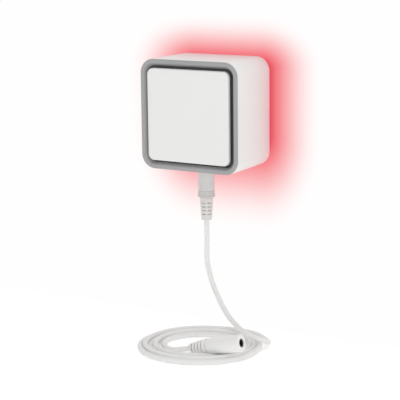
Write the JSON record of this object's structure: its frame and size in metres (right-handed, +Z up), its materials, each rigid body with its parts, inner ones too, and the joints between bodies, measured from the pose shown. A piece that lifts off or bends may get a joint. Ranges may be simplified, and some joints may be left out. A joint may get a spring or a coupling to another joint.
{
  "type": "plug-in water leak alarm",
  "caption": "Square wall-plug leak alarm with a press plate, a grey bezel, a rear light ring and a coiled braided sensing cable on a jack plug.",
  "frame": {"origin": "centre of the rear pad's wall face, between the two mains blades", "axes": "+Y into the wall, the front looks along -Y, +Z up, the cable leaves along -Z"},
  "size_m": [0.0871, 0.108, 0.175],
  "materials": {
    "white_plastic": "satin moulded",
    "plate_plastic": "fine satin moulded",
    "grey_plastic": "satin moulded",
    "diffuser": "milky translucent, lit red",
    "led": "lit lens",
    "steel": "zinc plated",
    "brass": "bright",
    "blade_metal": "nickel plated",
    "board": "solder mask",
    "black_plastic": "moulded",
    "foam": "closed cell foam",
    "plug_plastic": "glossy moulded",
    "braid": "fine braid",
    "inner_parts": "moulded"
  },
  "bodies": {
    "housing": {"housing_shell": "white_plastic", "bezel_ring": "grey_plastic", "light_ring": "diffuser", "back_cover": "white_plastic", "siren_gasket": "foam", "siren_body": "black_plastic", "siren_disc": "brass", "control_board": "board", "switch_body": "black_plastic", "processor": "black_plastic", "radio_module": "steel", "board_link": "black_plastic", "power_board": "board", "transformer": "black_plastic", "bulk_capacitor": "black_plastic", "filter_capacitor": "inner_parts", "fuse": "inner_parts", "blade_left": "blade_metal", "blade_right": "blade_metal", "led_board": "board", "jack_socket": "black_plastic", "jack_bush": "steel", "cord_coil": "braid", "cord_tail": "braid", "coupler_strain_relief": "plug_plastic", "coupler_body": "plug_plastic", "coupler_contact": "steel", "led_1": "led", "cover_screw_1": "steel", "led_2": "led", "cover_screw_2": "steel", "led_3": "led", "cover_screw_3": "steel", "led_4": "led", "cover_screw_4": "steel", "board_screw_1": "steel", "power_screw_1": "steel", "board_screw_2": "steel", "power_screw_2": "steel"},
    "push_plate": {"front_plate": "plate_plastic", "plate_carrier": "white_plastic", "switch_button": "black_plastic", "post_clip_1": "steel", "post_clip_2": "steel", "post_clip_3": "steel", "post_clip_4": "steel", "return_spring_1": "steel", "return_spring_2": "steel", "return_spring_3": "steel", "return_spring_4": "steel"},
    "jack_plug": {"plug_tip": "steel", "plug_insulator": "black_plastic", "plug_sleeve": "steel", "plug_body": "plug_plastic", "plug_strain_relief": "plug_plastic", "cord_drop": "braid"}
  },
  "joints": [
    {"name": "plate_press", "type": "slide", "parent": "housing", "child": "push_plate", "axis": [0, 1, 0], "range_m": [0, 0.0008], "stiffness_N_per_m": 2500, "deforming": ["return_spring_1", "return_spring_2", "return_spring_3", "return_spring_4"]},
    {"name": "plug_pull", "type": "slide", "parent": "housing", "child": "jack_plug", "axis": [0, 0, -1], "range_m": [0, 0.0165], "deforming": ["cord_drop"]}
  ]
}
